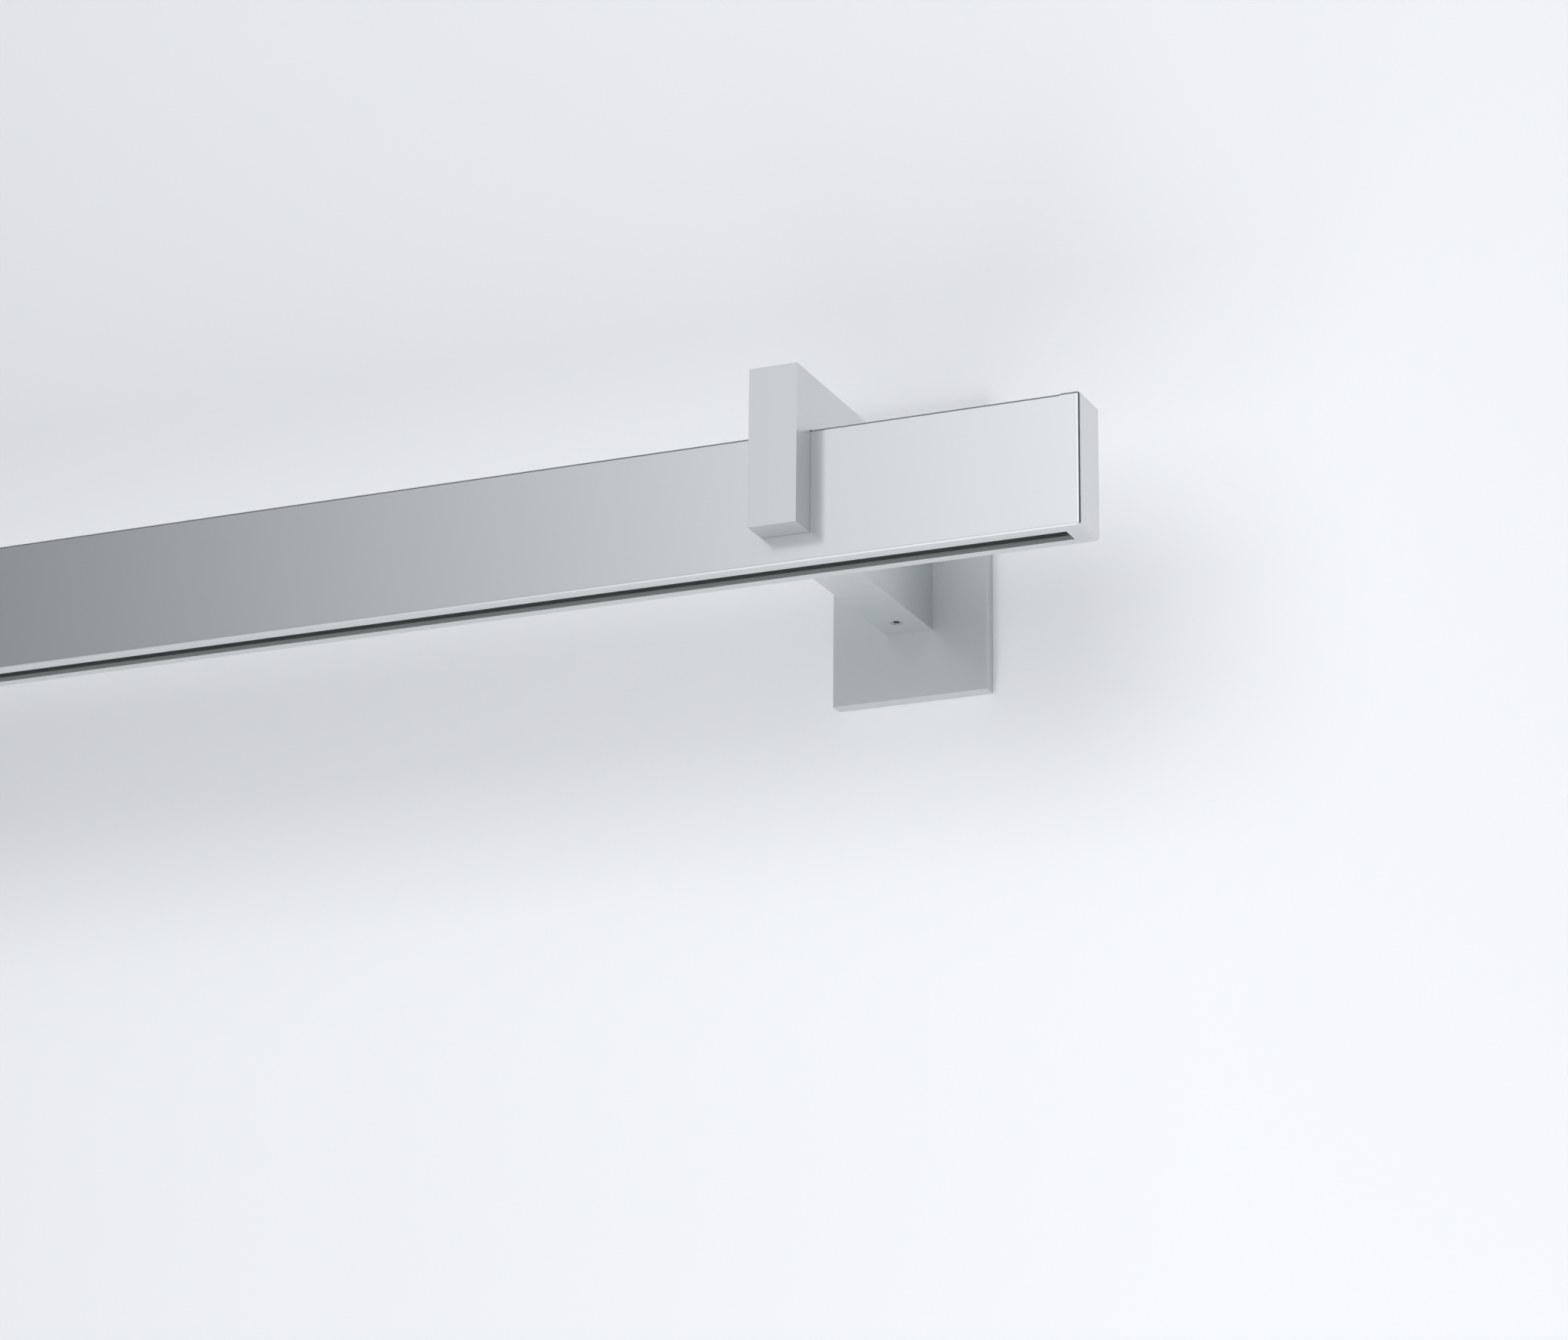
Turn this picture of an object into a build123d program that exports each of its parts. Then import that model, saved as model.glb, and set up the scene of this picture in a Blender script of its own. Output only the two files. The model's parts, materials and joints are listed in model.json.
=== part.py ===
from build123d import *
import os

# Rectangular curtain rod with an inner track, carried by two wall brackets. Sizes are in millimetres.
# X runs along the rod, to the right as seen from the room, Y points to the wall and Z points up.
# The origin lies on the wall, midway between the brackets and at the middle of their arms' height.

# Rod: one extrusion with a running channel below, a hollow chamber and a T-groove along its top
rod_length = 1000.0  # over both end caps
rod_depth = 16.0
rod_height = 40.0
rod_wall = 1.5  # front and back walls
rod_web = 1.2  # the two walls across the section
rod_edge = 1.0  # rounding of the long outer edges
slot_width = 7.0
slot_lip = 1.4  # thickness of the lips on both sides of the slot
channel_height = 9.0  # clear height above the lips
groove_mouth = 6.0
groove_width = 10.4
groove_depth = 3.6  # below the groove's lips
groove_lip = 2.0

# End caps: a block that closes the section, with a plug in the hollow chamber
cap_length = 6.0
cap_proud = 0.2  # step above the rod's top
cap_edge = 1.0  # rounding of its outer edges
plug_length = 14.0
plug_lead = 1.0  # chamfer at the plug's tip
plug_fit = 0.15

# Bracket arms: a bar from the wall with a notch for the rod and a finger down in front of it
bracket_inset = 90.0  # from the rod's ends to the middle of the brackets
arm_width = 15.0
arm_reach = 95.0  # from the cover plate to the rod's front
finger_thickness = 10.0
finger_lift = 8.5  # the underside of the finger and arm above the rod's underside
bridge_height = 17.0  # metal above the rod
notch_fit = 0.1

# Cover plates: a shallow tray over the wall base
plate_width = 50.0
plate_height = 90.0
plate_thickness = 5.0
plate_wall = 1.5

# Wall bases: a plate on the wall with a spigot for the arm
base_thickness = 3.0
base_fit = 0.5  # to the cover's inner walls
spigot_width = 8.0
spigot_height = 30.0
spigot_reach = 20.0  # beyond the cover plate
spigot_lead = 0.8  # chamfer at the spigot's tip
spigot_fit = 0.1
wall_hole_spacing = 60.0
wall_hole_radius = 2.5
wall_sink_radius = 4.3  # countersink for the screw's head

# Grub screws: lock the arms on their spigots from below
grub_radius = 2.0
grub_setback = 10.5  # from the cover plate
grub_recess = 0.1
grub_socket = 2.0  # hexagon across flats
grub_socket_depth = 2.0

# Clamp screws and nuts: pull the rod up against the arms' bridges
clamp_radius = 2.5
clamp_hole_radius = 2.75
clamp_head_radius = 4.25
clamp_head_height = 5.0
clamp_head_edge = 0.4  # chamfer
clamp_sink_fit = 0.5  # round and above the head in its counterbore
clamp_socket = 4.0  # hexagon across flats
clamp_socket_depth = 2.5
nut_length = 14.0
nut_thickness = 3.0
nut_fit = 0.2  # to each side of the groove
thread_fit = 0.05

# Gliders: moulded hooks' eyes that hang from the lips
glider_count = 10
glider_pitch = 60.0
glider_travel = 22.0  # each glider's own way to both sides
glider_end_gap = 0.5  # to the end cap at the end of the travel
head_length = 9.0
head_thickness = 2.4
head_round = 2.5
head_edge = 0.6  # chamfer round its top
head_fit = 0.8  # to each side of the channel
head_lift = 0.1  # above the lips
neck_length = 5.0
neck_fit = 0.4  # to each side of the slot
eye_drop = 5.2  # centre of the eye below the rod
eye_radius = 4.2
eye_hole_radius = 2.2
eye_thickness = 3.0

# Places that follow from the sizes above
arm_height = rod_height - finger_lift + bridge_height
arm_top = arm_height / 2
arm_bottom = -arm_height / 2
rod_bottom = arm_bottom - finger_lift
rod_top = rod_bottom + rod_height
plate_front = -plate_thickness
rod_front = plate_front - arm_reach
rod_back = rod_front + rod_depth
rod_middle = (rod_front + rod_back) / 2
finger_front = rod_front - notch_fit - finger_thickness
profile_end = rod_length / 2 - cap_length
channel_floor = rod_bottom + slot_lip
chamber_floor = channel_floor + channel_height + rod_web
groove_floor = rod_top - groove_lip - groove_depth
chamber_roof = groove_floor - rod_web
inner_depth = rod_depth - 2 * rod_wall
bracket_place = rod_length / 2 - bracket_inset


def along_x(sketch, low, high):
    """Extrude a sketch of the Y-Z plane between two places along the rod."""
    return Pos(low, 0, 0) * extrude(Plane.YZ * sketch, amount=high - low)


def cross_block(depth, low, high):
    """Rectangle of the rod's section, centred on the slot, between two heights."""
    return Pos(rod_middle, (low + high) / 2) * Rectangle(depth, high - low)


def upright(radius, low, high):
    """Cylinder on the Z axis between two heights."""
    return Pos(0, 0, low) * Cylinder(radius, high - low, align=(Align.CENTER, Align.CENTER, Align.MIN))


def hexagon_socket(across_flats, low, high):
    """Hexagon bar on the Z axis between two heights."""
    return Pos(0, 0, low) * extrude(RegularPolygon(across_flats / 2, 6, major_radius=False), high - low)


def track_profile():
    """The rod's extrusion, from end cap to end cap."""
    section = Pos(rod_middle, (rod_bottom + rod_top) / 2) * RectangleRounded(rod_depth, rod_height, rod_edge)
    section -= cross_block(slot_width, rod_bottom, channel_floor)
    section -= cross_block(inner_depth, channel_floor, channel_floor + channel_height)
    section -= cross_block(inner_depth, chamber_floor, chamber_roof)
    section -= cross_block(groove_width, groove_floor, rod_top - groove_lip)
    section -= cross_block(groove_mouth, rod_top - groove_lip, rod_top)
    return along_x(section, -profile_end, profile_end)


def end_cap():
    """The cap at the rod's right end, with its plug in the hollow chamber."""
    block = along_x(cross_block(rod_depth, rod_bottom, rod_top + cap_proud), profile_end, rod_length / 2)
    seam = block.edges().filter_by_position(Axis.X, profile_end, profile_end)
    block = fillet([edge for edge in block.edges() if edge not in seam], cap_edge)
    plug_section = cross_block(inner_depth - 2 * plug_fit, chamber_floor + plug_fit, chamber_roof - plug_fit)
    plug = along_x(plug_section, profile_end - plug_length, profile_end)
    plug = chamfer(plug.faces().sort_by(Axis.X)[0].edges(), plug_lead)
    return block + plug


def bracket_arm():
    """One arm, centred on X = 0, with its notch, socket, grub screw hole and clamp screw hole."""
    side = Pos((finger_front + plate_front) / 2, 0) * Rectangle(plate_front - finger_front, arm_height)
    side -= cross_block(rod_depth + 2 * notch_fit, arm_bottom, rod_top)
    arm = along_x(side, -arm_width / 2, arm_width / 2)
    socket = Rectangle(spigot_width + 2 * spigot_fit, spigot_height + 2 * spigot_fit)
    arm -= Pos(0, plate_front, 0) * extrude(Plane.XZ * socket, spigot_reach + spigot_fit)
    arm -= Pos(0, plate_front - grub_setback, 0) * upright(grub_radius + thread_fit, arm_bottom, 0)
    arm -= Pos(0, rod_middle, 0) * upright(clamp_hole_radius, rod_top, arm_top)
    counterbore = upright(clamp_head_radius + clamp_sink_fit, clamp_seat(), arm_top)
    return arm - Pos(0, rod_middle, 0) * counterbore


def clamp_seat():
    """Height of the clamp screw's seat in its counterbore."""
    return arm_top - clamp_head_height - clamp_sink_fit


def cover_plate():
    """The cover of one wall base, centred on X = 0: a tray with a window for the spigot."""
    tray = extrude(Plane.XZ * Rectangle(plate_width, plate_height), plate_thickness)
    hollow = Rectangle(plate_width - 2 * plate_wall, plate_height - 2 * plate_wall)
    tray -= extrude(Plane.XZ * hollow, plate_thickness - plate_wall)
    window = Rectangle(spigot_width + 2 * spigot_fit, spigot_height + 2 * spigot_fit)
    return tray - extrude(Plane.XZ * window, plate_thickness)


def wall_base():
    """One wall base, centred on X = 0, with its spigot and two countersunk holes."""
    rim = 2 * (plate_wall + base_fit)
    base = extrude(Plane.XZ * Rectangle(plate_width - rim, plate_height - rim), base_thickness)
    tip = plate_thickness + spigot_reach
    spigot = extrude(Plane.XZ * Rectangle(spigot_width, spigot_height), tip)
    spigot = chamfer(spigot.faces().sort_by(Axis.Y)[0].edges(), spigot_lead)
    base += spigot
    sink_depth = wall_sink_radius - wall_hole_radius
    hole = upright(wall_hole_radius, 0, base_thickness)
    hole += Pos(0, 0, base_thickness - sink_depth / 2) * Cone(wall_hole_radius, wall_sink_radius, sink_depth)
    for height in (-wall_hole_spacing / 2, wall_hole_spacing / 2):
        base -= Pos(0, 0, height) * Rot(90, 0, 0) * hole
    return base


def arm_grub_screw():
    """One grub screw, from its recess in the arm's underside up to the spigot."""
    foot = arm_bottom + grub_recess
    screw = upright(grub_radius, foot, -spigot_height / 2)
    screw -= hexagon_socket(grub_socket, foot, foot + grub_socket_depth)
    return Pos(0, plate_front - grub_setback, 0) * screw


def clamp_screw():
    """One clamp screw, from its seat in the arm's bridge down to the nut's underside."""
    seat = clamp_seat()
    head = upright(clamp_head_radius, seat, seat + clamp_head_height)
    head = chamfer(head.edges().group_by(Axis.Z)[-1], clamp_head_edge)
    screw = head + upright(clamp_radius, rod_top - groove_lip - nut_thickness, seat)
    head_top = seat + clamp_head_height
    screw -= hexagon_socket(clamp_socket, head_top - clamp_socket_depth, head_top)
    return Pos(0, rod_middle, 0) * screw


def clamp_nut():
    """One nut, pulled up against the lips of the rod's top groove."""
    nut_top = rod_top - groove_lip
    plan = Rectangle(nut_length, groove_width - 2 * nut_fit) - Circle(clamp_radius + thread_fit)
    return Pos(0, rod_middle, nut_top - nut_thickness) * extrude(plan, nut_thickness)


def glider():
    """One glider at X = 0: its head above the lips, its neck through the slot and its eye below."""
    head_bottom = channel_floor + head_lift
    head_plan = RectangleRounded(head_length, inner_depth - 2 * head_fit, head_round)
    head = Pos(0, 0, head_bottom) * extrude(head_plan, head_thickness)
    head = chamfer(head.faces().sort_by(Axis.Z)[-1].edges(), head_edge)
    eye_height = rod_bottom - eye_drop
    neck_plan = Rectangle(neck_length, slot_width - 2 * neck_fit)
    neck = Pos(0, 0, eye_height + eye_hole_radius) * extrude(neck_plan, head_bottom - eye_height - eye_hole_radius)
    eye = Pos(0, eye_thickness / 2, eye_height) * extrude(Plane.XZ * Circle(eye_radius), eye_thickness)
    body = head + neck + eye
    body -= Pos(0, rod_depth / 2, eye_height) * extrude(Plane.XZ * Circle(eye_hole_radius), rod_depth)
    return Pos(0, rod_middle, 0) * body


def assembly():
    """Every piece by its name, where it sits on the finished rod."""
    pieces = {"track_profile": track_profile(), "end_cap_right": end_cap()}
    pieces["end_cap_left"] = mirror(pieces["end_cap_right"], about=Plane.YZ)
    bracket = {
        "bracket_arm": bracket_arm(),
        "cover_plate": cover_plate(),
        "wall_base": wall_base(),
        "arm_grub_screw": arm_grub_screw(),
        "clamp_screw": clamp_screw(),
        "clamp_nut": clamp_nut(),
    }
    for side, place in (("left", -bracket_place), ("right", bracket_place)):
        for name, piece in bracket.items():
            pieces[f"{name}_{side}"] = Pos(place, 0, 0) * piece
    first_glider = glider_end_gap + head_length / 2 + glider_travel - profile_end
    one_glider = glider()
    for index in range(glider_count):
        pieces[f"glider_{index + 1:02d}"] = Pos(first_glider + index * glider_pitch, 0, 0) * one_glider
    return pieces


os.makedirs("parts", exist_ok=True)
for name, piece in assembly().items():
    export_step(piece, f"parts/{name}.step")
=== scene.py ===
import json
from math import radians, tau

import bmesh
import bpy
from bpy.props import FloatProperty, FloatVectorProperty, PointerProperty
from bpy.types import Operator, Panel, PropertyGroup
from mathutils import Matrix, Vector


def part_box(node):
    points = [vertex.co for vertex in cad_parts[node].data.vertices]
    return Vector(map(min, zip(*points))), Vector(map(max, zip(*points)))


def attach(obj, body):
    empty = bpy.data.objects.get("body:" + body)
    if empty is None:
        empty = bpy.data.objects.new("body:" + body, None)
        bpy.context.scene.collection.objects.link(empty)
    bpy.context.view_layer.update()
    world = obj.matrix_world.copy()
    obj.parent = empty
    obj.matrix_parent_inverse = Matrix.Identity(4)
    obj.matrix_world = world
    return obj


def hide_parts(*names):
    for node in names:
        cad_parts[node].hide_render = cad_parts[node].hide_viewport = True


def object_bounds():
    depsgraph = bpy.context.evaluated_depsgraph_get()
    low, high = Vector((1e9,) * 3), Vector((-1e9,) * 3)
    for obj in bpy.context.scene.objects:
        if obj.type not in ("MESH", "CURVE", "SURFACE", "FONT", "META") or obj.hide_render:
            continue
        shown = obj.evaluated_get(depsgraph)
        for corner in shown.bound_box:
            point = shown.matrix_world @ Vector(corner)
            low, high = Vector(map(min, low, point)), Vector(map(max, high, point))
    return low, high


bl_info = {
    "name": "Inner track curtain rod",
    "version": (1, 0, 0),
    "blender": (4, 5, 0),
    "location": "3D View > Sidebar > Curtain Rod",
    "description": "Finishes a packed curtain rod with its brackets and gliders, and sets its stage",
    "category": "Object",
}

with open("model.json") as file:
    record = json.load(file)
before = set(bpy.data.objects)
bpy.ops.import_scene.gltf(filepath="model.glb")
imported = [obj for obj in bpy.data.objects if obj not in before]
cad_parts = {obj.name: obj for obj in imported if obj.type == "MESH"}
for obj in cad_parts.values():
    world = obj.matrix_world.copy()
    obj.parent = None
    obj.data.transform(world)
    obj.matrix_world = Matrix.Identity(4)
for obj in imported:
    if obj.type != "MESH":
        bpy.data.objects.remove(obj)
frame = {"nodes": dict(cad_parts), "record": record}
CAD_LOW, CAD_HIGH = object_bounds()
SIDES = ("left", "right")
GLIDERS = sorted(name for name in frame["nodes"] if name.startswith("glider_"))
MM_PER_METRE = 1000

# Fineness of the moulded shapes, and the angles from which an edge is a rim or is shaded sharp
CORNER_SEGMENTS = 8
EDGE_SEGMENTS = 4
RING_STEPS = 64
RIM_ANGLE = radians(80)
SHARP_ANGLE = radians(40)

# Grain of the aluminium, in noise cells per metre along X, Y and Z
DRAWN_GRAIN = (12.0, 6000.0, 6000.0)
BLASTED_GRAIN = (7000.0, 7000.0, 7000.0)

# The range that most of a noise lies in
NOISE_MIDDLE = (0.3, 0.7)

# The distance, in metres, that tells the rod's outer faces from those behind them
OUTER_SKIN = 0.00005

# Studio light by direction: where on X (across) or Z (up) each ramp starts and ends, and its value at both
WINDOW_LEFT_ACROSS = (-0.525, -0.25, 0.12, 1.56)
WINDOW_RIGHT_ACROSS = (0.25, 0.54, 1.0, 0.0)
WINDOW_TOP_UP = (0.52, 0.76, 1.0, 0.05)
WINDOW_FOOT_UP = (-0.5, 0.1, 0.72, 1.0)
FLOOR_EDGE_UP = (-0.4, -0.7, 0.0, 1.0)
FLOOR_LEFT_ACROSS = (-0.48, -0.32, 0.6, 1.7)
FLOOR_RIGHT_ACROSS = (-0.3, -0.23, 1.0, 0.35)


# Property groups: what a user would change

class RodFinish(PropertyGroup):
    """Colour, gloss and grain of the anodised aluminium."""

    rod_colour: FloatVectorProperty(
        name="Rod", description="Colour of the extruded rod and its end caps", subtype="COLOR", size=3,
        min=0, max=1, default=(0.69, 0.71, 0.72))
    rod_roughness: FloatProperty(
        name="Rod roughness", description="How satin the rod is", subtype="FACTOR", min=0, max=1, default=0.2)
    rod_metal: FloatProperty(
        name="Rod metal", description="How metallic the rod's anodised skin is", subtype="FACTOR",
        min=0, max=1, default=0.82)
    rod_wall: FloatProperty(
        name="Rod wall", description="Thickness of the rod's front and back walls", subtype="DISTANCE",
        unit="LENGTH", min=0, default=0.0015)
    # Partly painted shade: the inside's colour is darker than the rod's own to stand in for shade in the
    # channel and groove, while its matt roughness is the real finish.
    inside_colour_with_painted_shade: FloatVectorProperty(
        name="Inside", description="Colour of the matt metal inside the channel and groove", subtype="COLOR",
        size=3, min=0, max=1, default=(0.32, 0.35, 0.35))
    inside_roughness: FloatProperty(
        name="Inside roughness", description="How matt the metal inside is", subtype="FACTOR",
        min=0, max=1, default=0.6)
    inside_metal: FloatProperty(
        name="Inside metal", description="How metallic the matt metal inside looks", subtype="FACTOR",
        min=0, max=1, default=0.1)
    bracket_colour: FloatVectorProperty(
        name="Brackets", description="Colour of the bracket arms and cover plates", subtype="COLOR", size=3,
        min=0, max=1, default=(0.71, 0.74, 0.742))
    arm_roughness: FloatProperty(
        name="Arm roughness", description="How satin the bracket arms are", subtype="FACTOR",
        min=0, max=1, default=0.35)
    arm_metal: FloatProperty(
        name="Arm metal", description="How metallic the bracket arms' anodised skin is", subtype="FACTOR",
        min=0, max=1, default=0.86)
    plate_roughness: FloatProperty(
        name="Plate roughness", description="How satin the cover plates are", subtype="FACTOR",
        min=0, max=1, default=0.46)
    plate_metal: FloatProperty(
        name="Plate metal", description="How metallic the cover plates' anodised skin is", subtype="FACTOR",
        min=0, max=1, default=0.76)
    grain_depth: FloatProperty(
        name="Grain depth", description="Height of the finest surface grain", subtype="DISTANCE",
        unit="LENGTH", min=0, default=0.0000003)


class FixingFinish(PropertyGroup):
    """Colour and gloss of the plated steel behind the covers and of the screws."""

    base_colour: FloatVectorProperty(
        name="Wall bases", description="Colour of the plated wall bases and nuts", subtype="COLOR", size=3,
        min=0, max=1, default=(0.62, 0.63, 0.64))
    base_roughness: FloatProperty(
        name="Base roughness", description="How dull the plated wall bases and nuts are", subtype="FACTOR",
        min=0, max=1, default=0.38)
    screw_colour: FloatVectorProperty(
        name="Screws", description="Colour of the grub screws and clamp screws", subtype="COLOR", size=3,
        min=0, max=1, default=(0.64, 0.66, 0.67))
    screw_roughness: FloatProperty(
        name="Screw roughness", description="How dull the grub screws and clamp screws are", subtype="FACTOR",
        min=0, max=1, default=0.32)


class GliderFinish(PropertyGroup):
    """Colour, edges and sizes of the moulded gliders."""

    colour: FloatVectorProperty(
        name="Plastic", description="Colour of the moulded plastic", subtype="COLOR", size=3,
        min=0, max=1, default=(0.78, 0.79, 0.79))
    edge_round: FloatProperty(
        name="Edge rounding", description="Radius of the moulded edges", subtype="DISTANCE",
        unit="LENGTH", min=0, default=0.0004)
    head_thickness: FloatProperty(
        name="Head thickness", description="Thickness of the head above the lips", subtype="DISTANCE",
        unit="LENGTH", min=0, default=0.0024)
    head_round: FloatProperty(
        name="Head corners", description="Radius of the head's corners, seen from above", subtype="DISTANCE",
        unit="LENGTH", min=0, default=0.0025)
    neck_length: FloatProperty(
        name="Neck length", description="Length of the neck along the slot", subtype="DISTANCE",
        unit="LENGTH", min=0, default=0.005)
    neck_width: FloatProperty(
        name="Neck width", description="Width of the neck across the slot", subtype="DISTANCE",
        unit="LENGTH", min=0, default=0.0062)


class StudioSetup(PropertyGroup):
    """Wall, floor, lights and camera."""

    wall_colour: FloatVectorProperty(
        name="Wall", description="Colour of the wall beyond the rod's right end", subtype="COLOR", size=3,
        min=0, max=1, default=(0.96, 0.97, 0.98))
    # Painted shade: the wall's colour darkens from the rod's right end towards the left, standing in for
    # light that falls off there.
    painted_wall_shade: FloatVectorProperty(
        name="Wall shade", description="Colour of the wall towards the left", subtype="COLOR", size=3,
        min=0, max=1, default=(0.83, 0.84, 0.85))
    floor_colour: FloatVectorProperty(
        name="Floor", description="Colour of the floor", subtype="COLOR", size=3,
        min=0, max=1, default=(0.85, 0.86, 0.87))
    floor_glow: FloatVectorProperty(
        name="Floor glow", description="What the floor adds for the camera alone, to look pale",
        subtype="COLOR", size=3, min=0, max=1, default=(0.66, 0.67, 0.68))
    backdrop_colour: FloatVectorProperty(
        name="Backdrop", description="Colour where the camera sees past the wall and floor", subtype="COLOR",
        size=3, min=0, max=1, default=(0.93, 0.94, 0.95))
    light_tint: FloatVectorProperty(
        name="Light tint", description="Colour of the soft light all around", subtype="COLOR", size=3,
        min=0, soft_max=1, default=(0.98, 1.0, 1.025))
    wall_half_width: FloatProperty(
        name="Wall half width", description="Half the wall's width, and its height above the brackets",
        subtype="DISTANCE", unit="LENGTH", default=8.0)
    wall_gap: FloatProperty(
        name="Wall gap", description="Gap between the brackets' backs and the wall", subtype="DISTANCE",
        unit="LENGTH", default=0.0002)
    wall_lap: FloatProperty(
        name="Wall lap", description="How far the wall reaches in behind each cover plate",
        subtype="DISTANCE", unit="LENGTH", default=0.0003)
    floor_drop: FloatProperty(
        name="Floor drop", description="Depth of the floor below the brackets", subtype="DISTANCE",
        unit="LENGTH", default=2.4)
    key_power: FloatProperty(
        name="Key light", description="Power of the large lamp in front of the wall", subtype="POWER",
        unit="POWER", default=18.4)
    key_place: FloatVectorProperty(
        name="Key place", description="Where the large lamp hangs", subtype="TRANSLATION", unit="LENGTH",
        size=3, default=(0.42, -2.4, 0.4))
    key_target: FloatVectorProperty(
        name="Key target", description="Where the large lamp points", subtype="TRANSLATION", unit="LENGTH",
        size=3, default=(0.42, 0.0, 0.0))
    key_size: FloatVectorProperty(
        name="Key size", description="Width and height of the large lamp", subtype="XYZ_LENGTH",
        unit="LENGTH", size=2, default=(2.4, 2.0))
    under_power: FloatProperty(
        name="Under light", description="Power of the lamp below the rod", subtype="POWER",
        unit="POWER", default=14.6)
    under_place: FloatVectorProperty(
        name="Under place", description="Where the lamp below the rod stands", subtype="TRANSLATION",
        unit="LENGTH", size=3, default=(0.35, -1.35, -1.75))
    under_target: FloatVectorProperty(
        name="Under target", description="Where the lamp below the rod points", subtype="TRANSLATION",
        unit="LENGTH", size=3, default=(0.3, 0.0, 0.0))
    under_size: FloatVectorProperty(
        name="Under size", description="Width and height of the lamp below the rod", subtype="XYZ_LENGTH",
        unit="LENGTH", size=2, default=(1.6, 1.2))
    camera_place: FloatVectorProperty(
        name="Camera place", description="Where the camera stands", subtype="TRANSLATION", unit="LENGTH",
        size=3, default=(0.95796, -1.36128, -0.51312))
    camera_turn: FloatVectorProperty(
        name="Camera turn", description="How the camera is turned", subtype="EULER", unit="ROTATION", size=3,
        default=(radians(108.0546), radians(-0.4979), radians(23.3239)))
    camera_lens: FloatProperty(
        name="Camera lens", description="Focal length of the camera", subtype="DISTANCE_CAMERA",
        default=116.782)


class CurtainRodSettings(PropertyGroup):
    """Everything that the panel shows."""

    rod: PointerProperty(name="Rod", description="Finish of the rod, caps and brackets", type=RodFinish)
    fixings: PointerProperty(
        name="Fixings", description="Finish of the wall bases, screws and nuts", type=FixingFinish)
    gliders: PointerProperty(
        name="Gliders", description="Finish and sizes of the moulded gliders", type=GliderFinish)
    studio: PointerProperty(name="Studio", description="Stage, lights and camera", type=StudioSetup)


# Node helpers

def new_material(name):
    """An empty node material with its shader and output."""
    material = bpy.data.materials.new(name)
    material.use_nodes = True
    tree = material.node_tree
    tree.nodes.clear()
    shader = tree.nodes.new("ShaderNodeBsdfPrincipled")
    output = tree.nodes.new("ShaderNodeOutputMaterial")
    tree.links.new(shader.outputs["BSDF"], output.inputs["Surface"])
    return material, tree, shader


def node_of(tree, kind):
    """A material's one node of a kind."""
    return next(node for node in tree.nodes if node.type == kind)


def split_coordinates(tree, kind):
    """The X, Y and Z of a kind of texture coordinate, each as a value."""
    place = tree.nodes.new("ShaderNodeTexCoord")
    split = tree.nodes.new("ShaderNodeSeparateXYZ")
    tree.links.new(place.outputs[kind], split.inputs["Vector"])
    return split.outputs


def object_noise(tree, cells, detail, roughness=0.5):
    """Noise on the piece's own coordinates, with its number of cells per metre along each axis."""
    place = tree.nodes.new("ShaderNodeTexCoord")
    mapping = tree.nodes.new("ShaderNodeMapping")
    mapping.inputs["Scale"].default_value = cells
    noise = tree.nodes.new("ShaderNodeTexNoise")
    noise.inputs["Scale"].default_value = 1.0
    noise.inputs["Detail"].default_value = detail
    noise.inputs["Roughness"].default_value = roughness
    tree.links.new(place.outputs["Object"], mapping.inputs["Vector"])
    tree.links.new(mapping.outputs["Vector"], noise.inputs["Vector"])
    return noise.outputs["Fac"]


def ramp_by(tree, source, start, end, at_start, at_end):
    """A straight ramp of a value between two places."""
    ramp = tree.nodes.new("ShaderNodeMapRange")
    ramp.inputs["From Min"].default_value = start
    ramp.inputs["From Max"].default_value = end
    ramp.inputs["To Min"].default_value = at_start
    ramp.inputs["To Max"].default_value = at_end
    tree.links.new(source, ramp.inputs["Value"])
    return ramp.outputs["Result"]


def calculate(tree, operation, source, number=0.0):
    """A calculation or a test on a value, with a number where it takes one."""
    node = tree.nodes.new("ShaderNodeMath")
    node.operation = operation
    node.inputs[1].default_value = number
    tree.links.new(source, node.inputs[0])
    return node.outputs["Value"]


def times(tree, first, second):
    """The product of two values."""
    product = tree.nodes.new("ShaderNodeMath")
    product.operation = "MULTIPLY"
    tree.links.new(first, product.inputs[0])
    tree.links.new(second, product.inputs[1])
    return product.outputs["Value"]


def blend(tree, factor, socket, value):
    """Lead a shader's socket over from what it has to another value, by a factor."""
    mix = tree.nodes.new("ShaderNodeMix")
    mix.data_type = "RGBA" if socket.type == "RGBA" else "FLOAT"
    mix.inputs["B"].default_value = value
    if socket.is_linked:
        tree.links.new(socket.links[0].from_socket, mix.inputs["A"])
    else:
        mix.inputs["A"].default_value = socket.default_value
    tree.links.new(factor, mix.inputs["Factor"])
    tree.links.new(mix.outputs["Result"], socket)


def vary_colour(tree, shader, source, colour, change):
    """Vary a shader's colour lightly, darker and lighter, with a noise."""
    base = shader.inputs["Base Color"]
    base.default_value = (*[channel * (1 - change) for channel in colour], 1)
    blend(tree, source, base, (*[min(1, channel * (1 + change)) for channel in colour], 1))


def vary_roughness(tree, shader, source, roughness, drop, rise):
    """Vary a shader's roughness with a noise's middle range."""
    varied = ramp_by(tree, source, *NOISE_MIDDLE, roughness - drop, roughness + rise)
    tree.links.new(varied, shader.inputs["Roughness"])


def raise_grain(tree, shader, source, depth, strength):
    """Bump a shader with a noise."""
    bump = tree.nodes.new("ShaderNodeBump")
    bump.inputs["Distance"].default_value = depth
    bump.inputs["Strength"].default_value = strength
    tree.links.new(source, bump.inputs["Height"])
    tree.links.new(bump.outputs["Normal"], shader.inputs["Normal"])


# Finishes

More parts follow.
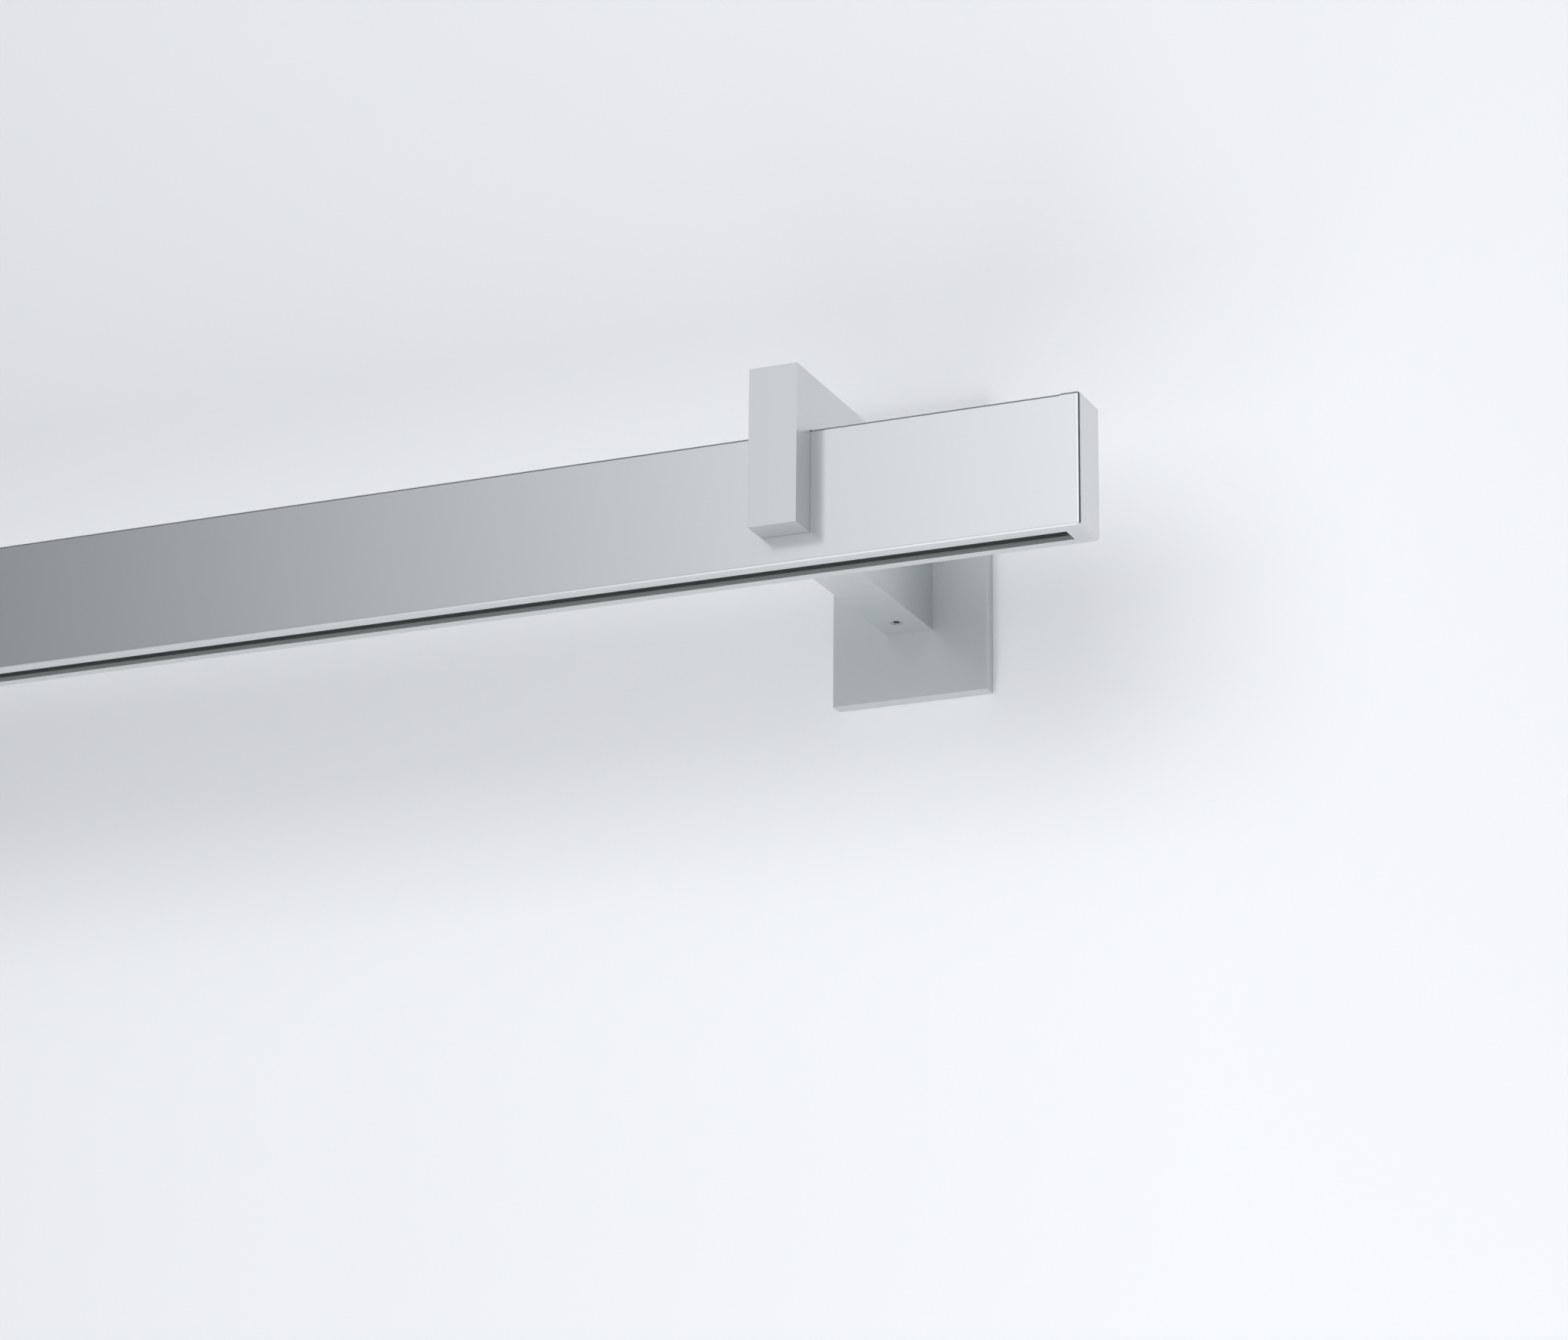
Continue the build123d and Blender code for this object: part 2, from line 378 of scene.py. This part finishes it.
def satin_aluminium(name, colour, metal, roughness, grain_depth, grain_cells):
    """Anodised aluminium with a fine grain that may be stretched along the metal's drawing direction."""
    material, tree, shader = new_material(name)
    shader.inputs["Metallic"].default_value = metal
    grain = object_noise(tree, grain_cells, detail=3.0)
    cloud = object_noise(tree, cells=(9.0, 22.0, 22.0), detail=2.0)
    vary_colour(tree, shader, cloud, colour, change=0.008)
    vary_roughness(tree, shader, grain, roughness, drop=0.012, rise=0.012)
    raise_grain(tree, shader, grain, grain_depth, strength=0.02)
    return material


def matt_and_shaded_inside(material, finish, low, high):
    """Turn the metal behind a hollow bar's walls into matt, unpolished metal, with a darker colour that is
    painted shade inside the channel and groove.
    """
    tree = material.node_tree
    place = split_coordinates(tree, "Object")
    middle = (low.y + high.y) / 2
    half_depth = (high.y - low.y) / 2
    from_middle = calculate(tree, "ABSOLUTE", calculate(tree, "SUBTRACT", place["Y"], middle))
    behind = calculate(tree, "LESS_THAN", from_middle, half_depth - finish.rod_wall + OUTER_SKIN)
    above = calculate(tree, "GREATER_THAN", place["Z"], low.z + OUTER_SKIN)
    below = calculate(tree, "LESS_THAN", place["Z"], high.z - OUTER_SKIN)
    inside = times(tree, times(tree, behind, above), below)
    shader = node_of(tree, "BSDF_PRINCIPLED")
    # Painted shade: the darker colour inside the channel and groove stands in for shade there.
    blend(tree, inside, shader.inputs["Base Color"], (*finish.inside_colour_with_painted_shade, 1))
    blend(tree, inside, shader.inputs["Roughness"], finish.inside_roughness)
    blend(tree, inside, shader.inputs["Metallic"], finish.inside_metal)


def plated_steel(name, colour, roughness):
    """Zinc-plated steel with its faint crystalline cloudiness."""
    material, tree, shader = new_material(name)
    shader.inputs["Metallic"].default_value = 1.0
    cloud = object_noise(tree, cells=(420.0, 420.0, 420.0), detail=4.0, roughness=0.6)
    vary_colour(tree, shader, cloud, colour, change=0.1)
    vary_roughness(tree, shader, cloud, roughness, drop=0.08, rise=0.1)
    raise_grain(tree, shader, cloud, depth=0.00001, strength=0.3)
    return material


def moulded_plastic(name, colour):
    """Matt moulded plastic with a fine eroded texture."""
    material, tree, shader = new_material(name)
    grain = object_noise(tree, cells=(2200.0, 2200.0, 2200.0), detail=3.0)
    cloud = object_noise(tree, cells=(120.0, 120.0, 120.0), detail=2.0)
    vary_colour(tree, shader, cloud, colour, change=0.02)
    vary_roughness(tree, shader, grain, roughness=0.46, drop=0.06, rise=0.06)
    raise_grain(tree, shader, grain, depth=0.00001, strength=0.25)
    return material


def both_sides(name):
    """A bracket piece's two nodes."""
    return [f"{name}_{side}" for side in SIDES]


def dress(node_names, material):
    """Give CAD nodes one material."""
    for name in node_names:
        slots = frame["nodes"][name].data.materials
        slots.clear()
        slots.append(material)


# Mesh helpers

def show(name, mesh):
    """A new object for a mesh whose place is in the mesh."""
    piece = bpy.data.objects.new(name, mesh)
    bpy.context.scene.collection.objects.link(piece)
    return piece


def round_off(shape, geometry, radius, segments, affect="EDGES"):
    """Round a shape's edges or corner points."""
    bmesh.ops.bevel(
        shape, geom=geometry, offset=radius, offset_type="OFFSET", segments=segments, profile=0.5,
        affect=affect, material=-1)


def rounded_block(low, high, bottom, corner, rim):
    """A block with rounded upright corners and, where a rim is given, a rounded rim at its top and bottom."""
    shape = bmesh.new()
    size = Vector((high.x - low.x, high.y - low.y, high.z - bottom))
    middle = Vector((low.x + high.x, low.y + high.y, bottom + high.z)) / 2
    bmesh.ops.create_cube(shape, size=1.0, matrix=Matrix.Translation(middle) @ Matrix.Diagonal((*size, 1.0)))
    upright = [edge for edge in shape.edges if edge.verts[0].co.xy == edge.verts[1].co.xy]
    round_off(shape, upright, corner, CORNER_SEGMENTS)
    if rim:
        rims = [edge for edge in shape.edges if edge.calc_face_angle() > RIM_ANGLE]
        round_off(shape, rims, rim, EDGE_SEGMENTS)
    return shape


def eye_ring(centre, hole, outer, thickness, edge):
    """A flat ring on the Y axis with rounded edges, spun from its section."""
    shape = bmesh.new()
    half = thickness / 2
    places = ((hole, -half), (outer, -half), (outer, half), (hole, half))
    corners = [shape.verts.new(centre + Vector((radius, side, 0))) for radius, side in places]
    shape.faces.new(corners)
    round_off(shape, corners, edge, EDGE_SEGMENTS, affect="VERTICES")
    bmesh.ops.delete(shape, geom=shape.faces[:], context="FACES_ONLY")
    bmesh.ops.spin(
        shape, geom=shape.verts[:] + shape.edges[:], cent=centre, axis=(0, 1, 0), angle=tau, steps=RING_STEPS,
        use_merge=True)
    bmesh.ops.recalc_face_normals(shape, faces=shape.faces[:])
    return shape


def united(name, shapes):
    """One mesh from closed shapes that run into each other."""
    pieces = []
    for index, shape in enumerate(shapes):
        mesh = bpy.data.meshes.new(f"{name}_{index}")
        shape.to_mesh(mesh)
        shape.free()
        pieces.append(show(mesh.name, mesh))
    for other in pieces[1:]:
        union = pieces[0].modifiers.new(other.name, "BOOLEAN")
        union.operation = "UNION"
        union.solver = "EXACT"
        union.object = other
    evaluated = pieces[0].evaluated_get(bpy.context.evaluated_depsgraph_get())
    whole = bpy.data.meshes.new_from_object(evaluated)
    whole.name = name
    for piece in pieces:
        bpy.data.meshes.remove(piece.data)
    whole.shade_smooth()
    whole.set_sharp_from_angle(angle=SHARP_ANGLE)
    return whole


# Stage helpers

def cut_opening(shape, low, high):
    """Cut a rectangular opening through a sheet that stands along X and Z."""
    for corner in (low, high):
        for normal in ((1, 0, 0), (0, 0, 1)):
            geometry = shape.verts[:] + shape.edges[:] + shape.faces[:]
            bmesh.ops.bisect_plane(shape, geom=geometry, plane_co=corner, plane_no=normal)
    middles = [(face, face.calc_center_median()) for face in shape.faces]
    inside = [face for face, at in middles if low.x < at.x < high.x and low.z < at.z < high.z]
    bmesh.ops.delete(shape, geom=inside, context="FACES")


def flat_sheet(name, corners, material, openings=()):
    """One plain sheet through four corners, with openings where pieces back onto it."""
    mesh = bpy.data.meshes.new(name)
    shape = bmesh.new()
    shape.faces.new([shape.verts.new(corner) for corner in corners])
    for low, high in openings:
        cut_opening(shape, low, high)
    shape.to_mesh(mesh)
    shape.free()
    mesh.materials.append(material)
    sheet = show(name, mesh)
    return sheet


def one_sided_paint(name, colour):
    """Matt paint that is seen from the front only, so that the part shows from behind the sheet too."""
    material, tree, shader = new_material(name)
    shader.inputs["Base Color"].default_value = (*colour, 1)
    shader.inputs["Roughness"].default_value = 0.9
    shader.inputs["Specular IOR Level"].default_value = 0.0
    clear = tree.nodes.new("ShaderNodeBsdfTransparent")
    facing = tree.nodes.new("ShaderNodeNewGeometry")
    choose = tree.nodes.new("ShaderNodeMixShader")
    output = node_of(tree, "OUTPUT_MATERIAL")
    tree.links.new(facing.outputs["Backfacing"], choose.inputs["Fac"])
    tree.links.new(shader.outputs["BSDF"], choose.inputs[1])
    tree.links.new(clear.outputs["BSDF"], choose.inputs[2])
    tree.links.new(choose.outputs["Shader"], output.inputs["Surface"])
    return material


def soft_lamp(name, place, target, size, power):
    """A large area lamp that the metal doesn't mirror."""
    lamp = bpy.data.lights.new(name, "AREA")
    lamp.shape = "RECTANGLE"
    lamp.size, lamp.size_y = size
    lamp.energy = power
    holder = bpy.data.objects.new(name, lamp)
    holder.location = place
    holder.rotation_mode = "QUATERNION"
    holder.rotation_quaternion = (target - place).to_track_quat("-Z", "Y")
    holder.visible_glossy = False
    bpy.context.scene.collection.objects.link(holder)


def studio_light(tree):
    """Brightness by direction: a broad soft window in front of the wall over a pale floor, dim elsewhere."""
    direction = split_coordinates(tree, "Generated")
    across, up = direction["X"], direction["Z"]
    window = ramp_by(tree, across, *WINDOW_LEFT_ACROSS)
    for source, ramp in ((across, WINDOW_RIGHT_ACROSS), (up, WINDOW_TOP_UP), (up, WINDOW_FOOT_UP)):
        window = times(tree, window, ramp_by(tree, source, *ramp))
    glow = times(
        tree, ramp_by(tree, across, *FLOOR_LEFT_ACROSS), ramp_by(tree, across, *FLOOR_RIGHT_ACROSS))
    floor = tree.nodes.new("ShaderNodeMix")
    tree.links.new(ramp_by(tree, up, *FLOOR_EDGE_UP), floor.inputs["Factor"])
    tree.links.new(window, floor.inputs["A"])
    tree.links.new(glow, floor.inputs["B"])
    return floor.outputs["Result"]


def studio_world(studio):
    """The studio's light, with a plain pale background where the camera sees past the stage."""
    world = bpy.data.worlds.new("studio")
    world.use_nodes = True
    tree = world.node_tree
    tree.nodes.clear()
    output = tree.nodes.new("ShaderNodeOutputWorld")
    light = tree.nodes.new("ShaderNodeBackground")
    light.inputs["Color"].default_value = (*studio.light_tint, 1)
    tree.links.new(studio_light(tree), light.inputs["Strength"])
    backdrop = tree.nodes.new("ShaderNodeBackground")
    backdrop.inputs["Color"].default_value = (*studio.backdrop_colour, 1)
    path = tree.nodes.new("ShaderNodeLightPath")
    choose = tree.nodes.new("ShaderNodeMixShader")
    tree.links.new(path.outputs["Is Camera Ray"], choose.inputs["Fac"])
    tree.links.new(light.outputs["Background"], choose.inputs[1])
    tree.links.new(backdrop.outputs["Background"], choose.inputs[2])
    tree.links.new(choose.outputs["Shader"], output.inputs["Surface"])
    bpy.context.scene.world = world


# Operators: one for each piece or group of like pieces, and one for the stage

class CURTAINROD_OT_finish_rod(Operator):
    """Finish the extruded rod and its end caps"""

    bl_idname = "curtain_rod.finish_rod"
    bl_label = "Finish rod and caps"

    def execute(self, context):
        finish = context.scene.curtain_rod.rod
        look = (finish.rod_colour, finish.rod_metal, finish.rod_roughness, finish.grain_depth, DRAWN_GRAIN)
        rod_satin = satin_aluminium("rod_satin", *look)
        matt_and_shaded_inside(rod_satin, finish, *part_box("track_profile"))
        dress(["track_profile"], rod_satin)
        dress(both_sides("end_cap"), satin_aluminium("cap_satin", *look))
        return {"FINISHED"}


class CURTAINROD_OT_finish_brackets(Operator):
    """Finish the bracket arms and their cover plates"""

    bl_idname = "curtain_rod.finish_brackets"
    bl_label = "Finish brackets"

    def execute(self, context):
        finish = context.scene.curtain_rod.rod
        looks = {
            "bracket_arm": (finish.arm_metal, finish.arm_roughness),
            "cover_plate": (finish.plate_metal, finish.plate_roughness),
        }
        for name, (metal, roughness) in looks.items():
            satin = satin_aluminium(
                f"{name}_satin", finish.bracket_colour, metal, roughness, finish.grain_depth, BLASTED_GRAIN)
            dress(both_sides(name), satin)
        return {"FINISHED"}


class CURTAINROD_OT_finish_fixings(Operator):
    """Finish the wall bases, screws and nuts"""

    bl_idname = "curtain_rod.finish_fixings"
    bl_label = "Finish fixings"

    def execute(self, context):
        finish = context.scene.curtain_rod.fixings
        base_zinc = plated_steel("base_zinc", finish.base_colour, finish.base_roughness)
        dress(both_sides("wall_base") + both_sides("clamp_nut"), base_zinc)
        screw_zinc = plated_steel("screw_zinc", finish.screw_colour, finish.screw_roughness)
        dress(both_sides("arm_grub_screw") + both_sides("clamp_screw"), screw_zinc)
        return {"FINISHED"}


class CURTAINROD_OT_mould_gliders(Operator):
    """Mould the gliders in the running channel"""

    bl_idname = "curtain_rod.mould_gliders"
    bl_label = "Mould gliders"

    def execute(self, context):
        moulding = context.scene.curtain_rod.gliders
        plastic = moulded_plastic("glider_plastic", moulding.colour)
        first = GLIDERS[0]
        master = self.mould(first, moulding)
        master.materials.append(plastic)
        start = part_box(first)[0]
        for node in GLIDERS:
            mesh = master.copy()
            mesh.transform(Matrix.Translation(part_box(node)[0] - start))
            piece = show(f"{node}_moulding", mesh)
            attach(piece, node)
            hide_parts(node)
        bpy.data.meshes.remove(master)
        return {"FINISHED"}

    def mould(self, node, moulding):
        """One glider's mesh: its head above the lips, its neck through the slot and its eye below."""
        low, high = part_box(node)
        eye = next(mount for mount in frame["record"]["mounts"] if mount["name"] == f"{node}_eye")
        centre = Vector(eye["pos_m"])
        hole = eye["dims"]["r_mm"] / MM_PER_METRE
        thickness = eye["dims"]["length_mm"] / MM_PER_METRE
        edge = moulding.edge_round
        head_bottom = high.z - moulding.head_thickness
        head = rounded_block(low, high, head_bottom, moulding.head_round, edge)
        half_neck = Vector((moulding.neck_length / 2, moulding.neck_width / 2, 0))
        neck_high = centre + half_neck
        neck_high.z = head_bottom + edge
        neck = rounded_block(centre - half_neck, neck_high, bottom=centre.z + hole, corner=edge, rim=0)
        ring = eye_ring(centre, hole, centre.z - low.z, thickness, edge)
        return united("glider", [head, neck, ring])


class CURTAINROD_OT_set_stage(Operator):
    """Set the wall, floor, lights and camera"""

    bl_idname = "curtain_rod.set_stage"
    bl_label = "Set stage"

    def execute(self, context):
        studio = context.scene.curtain_rod.studio
        context.scene.view_settings.view_transform = "Standard"
        self.hang_wall(studio)
        self.lay_floor(studio)
        studio_world(studio)
        soft_lamp("key_lamp", studio.key_place, studio.key_target, studio.key_size, studio.key_power)
        soft_lamp(
            "under_lamp", studio.under_place, studio.under_target, studio.under_size, studio.under_power)
        self.place_camera(context, studio)
        return {"FINISHED"}

    def hang_wall(self, studio):
        """The wall just behind the brackets, facing the room, with painted shade that darkens its colour
        towards the left and leaves it paler towards the rod's right end.
        """
        half, foot = studio.wall_half_width, -studio.floor_drop
        back = CAD_HIGH.y + studio.wall_gap
        corners = [(-half, back, foot), (half, back, foot), (half, back, half), (-half, back, half)]
        paint = one_sided_paint("wall_paint", studio.painted_wall_shade)
        tree = paint.node_tree
        # Painted shade on the wall: its colour darkens from the rod's right end to the wall's middle and
        # stays dark to the left, in place of light falling off.
        shade_fade_rightwards = ramp_by(tree, split_coordinates(tree, "Object")["X"], 0.0, CAD_HIGH.x, 0.0, 1.0)
        base = node_of(tree, "BSDF_PRINCIPLED").inputs["Base Color"]
        blend(tree, shade_fade_rightwards, base, (*studio.wall_colour, 1))
        lap = Vector((studio.wall_lap, 0, studio.wall_lap))
        openings = [(low + lap, high - lap) for low, high in map(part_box, both_sides("cover_plate"))]
        flat_sheet("wall", corners, paint, openings)

    def lay_floor(self, studio):
        """The floor of the room. What the metal mirrors of a floor is in the studio's light."""
        half, low = 2 * studio.wall_half_width, -studio.floor_drop
        corners = [(-half, -half, low), (half, -half, low), (half, half, low), (-half, half, low)]
        floor = flat_sheet("floor", corners, one_sided_paint("floor_paint", studio.floor_colour))
        floor.visible_glossy = False
        floor.visible_diffuse = False
        tree = floor.active_material.node_tree
        shader = node_of(tree, "BSDF_PRINCIPLED")
        path = tree.nodes.new("ShaderNodeLightPath")
        shader.inputs["Emission Color"].default_value = (*studio.floor_glow, 1)
        tree.links.new(path.outputs["Is Camera Ray"], shader.inputs["Emission Strength"])

    def place_camera(self, context, studio):
        """The camera, below and to the right of the rod."""
        camera = bpy.data.objects.new("camera", bpy.data.cameras.new("camera"))
        camera.data.lens = studio.camera_lens
        camera.location = studio.camera_place
        camera.rotation_euler = studio.camera_turn
        context.scene.collection.objects.link(camera)
        context.scene.camera = camera


class VIEW3D_PT_curtain_rod(Panel):
    """Lists the steps and the settings that a user would change."""

    bl_label = "Curtain rod"
    bl_idname = "VIEW3D_PT_curtain_rod"
    bl_space_type = "VIEW_3D"
    bl_region_type = "UI"
    bl_category = "Curtain Rod"

    def draw(self, context):
        settings = context.scene.curtain_rod
        for operator in OPERATORS:
            self.layout.operator(operator.bl_idname)
        for group in (settings.rod, settings.fixings, settings.gliders, settings.studio):
            box = self.layout.box()
            for name in group.__annotations__:
                box.prop(group, name)


OPERATORS = (
    CURTAINROD_OT_finish_rod,
    CURTAINROD_OT_finish_brackets,
    CURTAINROD_OT_finish_fixings,
    CURTAINROD_OT_mould_gliders,
    CURTAINROD_OT_set_stage,
)
GROUPS = (RodFinish, FixingFinish, GliderFinish, StudioSetup, CurtainRodSettings)
CLASSES = (*GROUPS, *OPERATORS, VIEW3D_PT_curtain_rod)


def register():
    """Register the classes and hang the settings on the scene."""
    for cls in CLASSES:
        bpy.utils.register_class(cls)
    bpy.types.Scene.curtain_rod = PointerProperty(
        name="Curtain rod", description="Settings of the curtain rod", type=CurtainRodSettings)


def unregister():
    """Remove the settings and the classes."""
    del bpy.types.Scene.curtain_rod
    for cls in reversed(CLASSES):
        bpy.utils.unregister_class(cls)


def main():
    """Build the dressed part and set its stage."""
    register()
    bpy.ops.curtain_rod.finish_rod()
    bpy.ops.curtain_rod.finish_brackets()
    bpy.ops.curtain_rod.finish_fixings()
    bpy.ops.curtain_rod.mould_gliders()
    bpy.ops.curtain_rod.set_stage()


if __name__ == "__main__":
    main()
